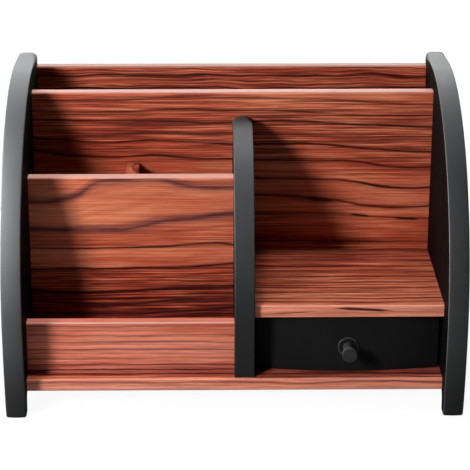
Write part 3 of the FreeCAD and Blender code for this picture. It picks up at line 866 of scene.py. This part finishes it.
def makeDivider(node):
    low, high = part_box(node)
    spring = panels["springLine"] * mm
    radius, lower = panels["dividerRadius"] * mm, panels["lowerRadius"] * mm
    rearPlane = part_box("tall_panel")[0].y
    mesh = bmesh.new()
    start = mesh.verts.new((low.x, rearPlane - radius, spring))
    sag = math.degrees(math.asin((spring - low.z) / lower))
    crown = addArc(mesh, start, (low.x, rearPlane, spring), -90, panels["arcSteps"])
    rear = addPoint(mesh, crown, (0, high.y - crown.co.y, 0))
    heel = addPoint(mesh, rear, (0, 0, low.z - rear.co.z))
    toe = addArc(mesh, start, (low.x, start.co.y + lower, spring), sag, panels["lowerSteps"])
    mesh.edges.new((heel, toe))
    extrudeLayers(mesh, low.x, high.x)
    mesh.normal_update()

    def radiusAt(place):
        behind = place.y > rearPlane + near and place.z < high.z - near
        if behind or place.z < low.z + near:
            return weld  # hidden, so left square
        atTop = fade((rearPlane - place.y) / mm, *panels["domeFade"])
        atTop *= fade((high.z - place.z) / mm, *panels["domeFadeDown"])
        arris = panels["dividerArris"]
        return (arris + atTop * (panels["domeRound"] - arris)) * mm

    roundPanel(mesh, low, high, panels["crownRadius"][node] * mm, radiusAt)
    return mesh


for node in ("left_side_panel", "right_side_panel"):
    finishPiece(makeSide(node), "_finished", node, "carcass", "black_lacquer",
                flatFinish="black_lacquer_flat")
finishPiece(makeDivider("centre_divider"), "_finished", "centre_divider", "carcass",
            "black_lacquer_divider", flatFinish="black_lacquer_flat")
print("curved panels made")

# boards
boards = {"round": 1.5, "roundSegments": 4}  # mm, on the tops and front edges that show


def makeBoard(node):
    low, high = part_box(node)
    mesh = makeBlock(low, high)
    axis = 1 if "crossTilt" in boardGrain[node] else 0

    def isRound(middle, way):
        onSheenStrip = middle.y < low.y + near if node in lyingBoards else middle.z > high.z - near
        return onSheenStrip and runsAlong(way, axis)

    bevelEdges(mesh, edgesWhere(mesh, isRound), boards["round"] * mm, boards["roundSegments"])
    return mesh


for node in boardGrain:
    finishPiece(makeBoard(node), "_veneered", node, "carcass", "rosewood_" + node)
print("boards made")

# drawer
drawer = {
    "bowRise": 8, "frontRound": 1.0, "boxRound": 0.8,  # mm
    "bowSteps": 48, "roundSegments": 3, "crease": 25,
}


def makeDrawerFront():
    low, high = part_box("drawer_front")
    rise = drawer["bowRise"] * mm
    middle, half = (low.x + high.x) / 2, (high.x - low.x) / 2
    radius = (half * half + rise * rise) / (2 * rise)
    spread = math.asin(half / radius)
    mesh = bmesh.new()
    start = mesh.verts.new((low.x, low.y + rise, low.z))
    swept = bmesh.ops.spin(mesh, geom=[start], cent=(middle, low.y + radius, low.z), axis=(0, 0, 1),
                           angle=2 * spread, steps=drawer["bowSteps"], use_merge=False)
    end = newPoints(swept["geom_last"])[0]
    backRight = addPoint(mesh, end, (0, high.y - end.co.y, 0))
    backLeft = addPoint(mesh, backRight, (low.x - high.x, 0, 0))
    mesh.edges.new((backLeft, start))
    filled = bmesh.ops.contextual_create(mesh, geom=list(mesh.edges))
    grown = bmesh.ops.extrude_face_region(mesh, geom=filled["faces"])["geom"]
    bmesh.ops.translate(mesh, vec=(0, 0, high.z - low.z), verts=newPoints(grown))
    faceOutwards(mesh)
    ends = low.y + rise

    def onRim(centre, way):
        # the bow's upper and lower edges, and the two upright ones at its ends
        atEnd = abs(centre.y - ends) < near and min(centre.x - low.x, high.x - centre.x) < near
        return centre.y < ends + near and (atEnd or not runsAlong(way, 2))

    bevelEdges(mesh, edgesWhere(mesh, onRim), drawer["frontRound"] * mm, drawer["roundSegments"])
    return mesh


finishPiece(makeDrawerFront(), "_finished", "drawer_front", "drawer",
            "black_lacquer_drawer", drawer["crease"])
for node in ("drawer_left_side", "drawer_right_side", "drawer_back", "drawer_bottom"):
    low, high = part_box(node)
    mesh = makeBlock(low, high)
    if node != "drawer_bottom":
        topEdges = edgesWhere(mesh, lambda middle, way: middle.z > high.z - near)
        bevelEdges(mesh, topEdges, drawer["boxRound"] * mm, drawer["roundSegments"])
    finishPiece(mesh, "_sanded", node, "drawer", "drawer_wood")
print("drawer made")

# knob and its plate
knob = {
    # mm
    "neckRadius": 4.0, "waistRadius": 3.7, "headRadius": 5.5, "headThickness": 3.0,
    "headEdge": 0.5, "plateEdge": 0.4,
    # shares of the knob's length, and of a rounded edge
    "waistAt": 0.4, "edgeShare": 0.3,
    "waistSteps": 5, "flareSteps": 10, "turns": 64, "crease": 40,
}


def turnedMesh(outline, low, high):
    # outline is (radius, y) pairs from end to end, both on the axis
    axisX, axisZ = (low.x + high.x) / 2, (low.z + high.z) / 2
    mesh = bmesh.new()
    point = mesh.verts.new((axisX, outline[0][1], axisZ + outline[0][0]))
    for (radius, y), (lastRadius, lastY) in zip(outline[1:], outline[:-1]):
        point = addPoint(mesh, point, (0, y - lastY, radius - lastRadius))
    geometry = list(mesh.verts) + list(mesh.edges)
    bmesh.ops.spin(mesh, geom=geometry, cent=(axisX, 0, axisZ), axis=(0, 1, 0),
                   angle=2 * math.pi, steps=knob["turns"], use_merge=True)
    bmesh.ops.remove_doubles(mesh, verts=mesh.verts, dist=2 * weld)
    return mesh


def smoothRun(first, last, count):
    # an S-shaped run of (radius, y) between two ends
    points = []
    for step in range(1, count):
        share = step / count
        ease = share * share * (3 - 2 * share)
        radius = first[0] + (last[0] - first[0]) * ease
        points.append((radius, first[1] + (last[1] - first[1]) * share))
    return points


def roundedRim(radius, face, edge):
    # the rounded edge of a disc from its side to its flat face
    inset = edge * knob["edgeShare"]
    return [(radius, face + edge), (radius - inset, face + inset), (radius - edge, face)]


def makeKnob():
    low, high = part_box("drawer_knob")
    neck, head = knob["neckRadius"] * mm, knob["headRadius"] * mm
    root = (neck, high.y)
    rim = (head, low.y + knob["headThickness"] * mm)
    waist = (knob["waistRadius"] * mm, high.y + (low.y - high.y) * knob["waistAt"])
    outline = [(0.0, high.y), root] + smoothRun(root, waist, knob["waistSteps"])
    outline += [waist] + smoothRun(waist, rim, knob["flareSteps"]) + [rim]
    outline += roundedRim(head, low.y, knob["headEdge"] * mm)
    outline += [(head * 0.5, low.y), (0.0, low.y)]
    return turnedMesh(outline, low, high)


def makeBackplate():
    low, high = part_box("knob_backplate")
    radius = (high.x - low.x) / 2
    outline = [(0.0, high.y), (radius, high.y)] + roundedRim(radius, low.y, knob["plateEdge"] * mm)
    outline += [(radius * 0.6, low.y), (0.0, low.y)]
    return turnedMesh(outline, low, high)


finishPiece(makeKnob(), "_turned", "drawer_knob", "drawer", "black_metal",
            knob["crease"])
finishPiece(makeBackplate(), "_turned", "knob_backplate", "drawer",
            "black_metal_rim", knob["crease"], "black_metal_plate", flatAxis=1)
print("knob made")

# what is left of the frame keeps its shape and takes a finish
kept = {"dowels": "beech", "drawer_dowels": "beech",
        "divider_screws": "zinc_steel", "knob_screw": "zinc_steel"}
for node, finish in kept.items():
    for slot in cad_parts[node].material_slots:
        slot.material = finishes[finish]

# floor, world and lights
stage = {
    "floorSize": 12.0,  # metres
    "floorColour": 0.09, "floorBounce": 0.5,  # its own, and what diffuse rays find
    "floorGrain": (6, 3), "floorGrainShare": 0.98, "floorRoughness": 0.9, "floorGloss": 0.1,
    "glowRange": (0.3, 0.9), "glow": (0.94, 1.0),  # metres from the middle, and brightness
    "roomAhead": 0.06, "worldBehind": 0.8, "worldFill": 0.018,
    "floorTurn": (-0.15, 0.25), "worldTurn": (-0.3, 0.3),  # where ahead becomes behind
}


def whiteness(shader, depth, turn, behind=1.0):
    # 1 for the camera and through glass; glossy rays find the room behind bright, ahead dim
    rays = shader.add("ShaderNodeLightPath").outputs
    ahead = shader.spread(depth, *turn, stage["roomAhead"] * behind, behind, soft=True)
    seen = shader.maths("MAXIMUM", rays["Is Camera Ray"], rays["Is Transmission Ray"])
    return shader.maths("MAXIMUM", seen, shader.maths("MULTIPLY", rays["Is Glossy Ray"], ahead))


def makeFloor():
    mesh = bmesh.new()
    bmesh.ops.create_grid(mesh, x_segments=1, y_segments=1, size=stage["floorSize"] / 2)
    floor, data = addObject(mesh, "floor")
    shader = Shader("floor")
    tone = stage["floorColour"]
    place = shader.coordinate()
    speckle = shader.noise(place, *stage["floorGrain"])
    grain = shader.spread(speckle, *noiseRange, tone * stage["floorGrainShare"], tone)
    bounced = shader.add("ShaderNodeLightPath").outputs["Is Diffuse Ray"]
    grain = shader.maths("MULTIPLY_ADD", bounced, stage["floorBounce"] - tone, grain)
    shader.give("Base Color", shader.grey(grain))
    shader.give("Roughness", stage["floorRoughness"])
    shader.give("Specular IOR Level", stage["floorGloss"])
    shader.give("Emission Color", (1, 1, 1, 1))
    lengths = shader.add("ShaderNodeVectorMath", {0: place}, operation="LENGTH").outputs
    glow = shader.spread(lengths["Value"], *stage["glowRange"], *stage["glow"], soft=True)
    depth = shader.axes(place)["Y"]
    glow = shader.maths("MULTIPLY", glow, whiteness(shader, depth, stage["floorTurn"]))
    shader.give("Emission Strength", glow)
    # seen from below, the floor lets the view of the underside through
    below = shader.add("ShaderNodeNewGeometry").outputs["Backfacing"]
    clear = shader.add("ShaderNodeBsdfTransparent").outputs[0]
    sockets = {0: below, 1: shader.surface.outputs[0], 2: clear}
    mixed = shader.add("ShaderNodeMixShader", sockets).outputs[0]
    shader.plug(shader.output.inputs["Surface"], mixed)
    data.materials.append(shader.material)


def makeWorld():
    world = bpy.data.worlds.new("studio")
    sky = Graph(world)
    depth = sky.axes(sky.coordinate("Generated"))["Y"]
    seen = whiteness(sky, depth, stage["worldTurn"], stage["worldBehind"])
    level = sky.spread(seen, 0, 1, stage["worldFill"], 1)
    background = sky.add("ShaderNodeBackground", {"Color": (1, 1, 1, 1), "Strength": level})
    sky.add("ShaderNodeOutputWorld", {"Surface": background.outputs[0]})
    scene.world = world


# metres and watts
lights = {
    "key": {"place": (-0.572, -0.748, 0.485), "aim": (0.0, 0.0, 0.1), "size": (0.2, 0.2),
            "power": 8.8, "lit": ("diffuse", "glossy")},
    "sideGloss": {"place": (-0.454, -0.155, 0.315), "aim": (0.0, -0.1, 0.1), "size": (0.18, 0.18),
                  "power": 15.0, "lit": ("glossy",)},
    "rearGloss": {"place": (-0.15, 0.9, 0.95), "aim": (0.0, 0.05, 0.15), "size": (1.6, 1.4),
                  "power": 33.0, "lit": ("glossy",)},
    "top": {"place": (-0.06, 0.105, 1.3), "aim": (0.0, 0.05, 0.1), "size": (0.36, 0.2),
            "power": 12.3, "lit": ("diffuse",)},
}


def makeLight(name, values):
    data = bpy.data.lights.new(name, "AREA")
    data.shape = "RECTANGLE"
    data.size, data.size_y = values["size"]
    data.energy = values["power"]
    lamp = bpy.data.objects.new(name, data)
    place, aim = Vector(values["place"]), Vector(values["aim"])
    turn = (aim - place).to_track_quat("-Z", "Y").to_matrix().to_4x4()
    lamp.matrix_world = Matrix.Translation(place) @ turn
    lamp.visible_camera = False
    lamp.visible_diffuse = "diffuse" in values["lit"]
    lamp.visible_glossy = "glossy" in values["lit"]
    scene.collection.objects.link(lamp)


makeFloor()
makeWorld()
for name, values in lights.items():
    makeLight(name, values)
scene.view_settings.view_transform = "Standard"
print("stage lit")
